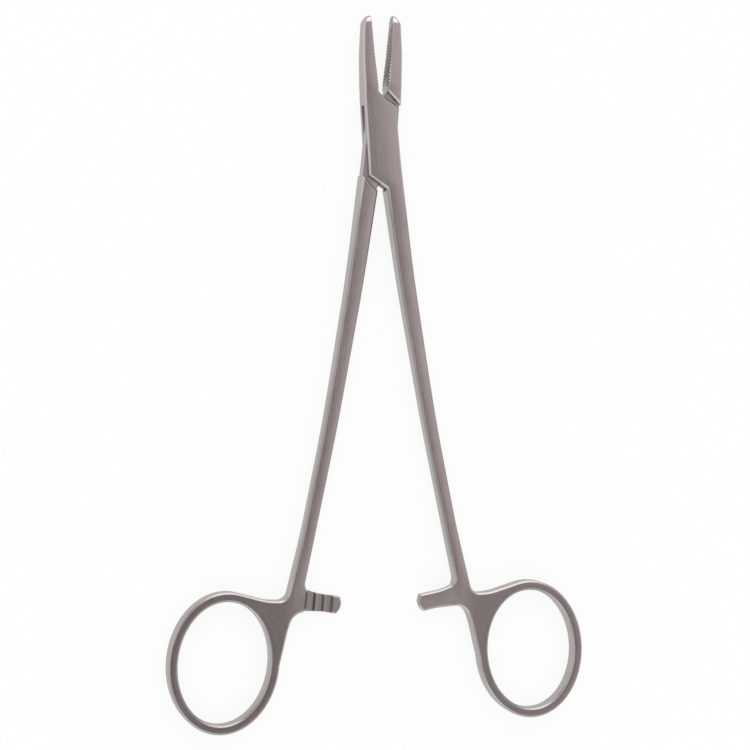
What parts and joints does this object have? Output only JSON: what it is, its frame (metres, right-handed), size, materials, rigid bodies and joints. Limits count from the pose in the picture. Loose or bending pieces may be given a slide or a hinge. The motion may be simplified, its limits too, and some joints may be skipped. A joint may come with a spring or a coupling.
{
  "type": "surgical needle holder",
  "caption": "Box-lock surgical needle holder with serrated jaws, ratchet arms and oval finger rings, satin stainless steel, shown partly open",
  "frame": {"origin": "pivot axis at the flat back of the box lock, on which the tool lies", "axes": "+Z through the thickness, out of the front; +Y towards the jaw tips; +X towards the jaw of the tenon half"},
  "size_m": [0.1086, 0.1775, 0.0052],
  "materials": {
    "satin_steel": "satin"
  },
  "bodies": {
    "box_side": {"box_half": "satin_steel", "joint_pin": "satin_steel"},
    "tenon_side": {"tenon_half": "satin_steel"}
  },
  "joints": [
    {"name": "box_lock_hinge", "type": "hinge", "parent": "box_side", "child": "tenon_side", "pos_m": [0, 0, 0], "axis": [0, 0, -1], "range_deg": [-10.3, 50]}
  ]
}
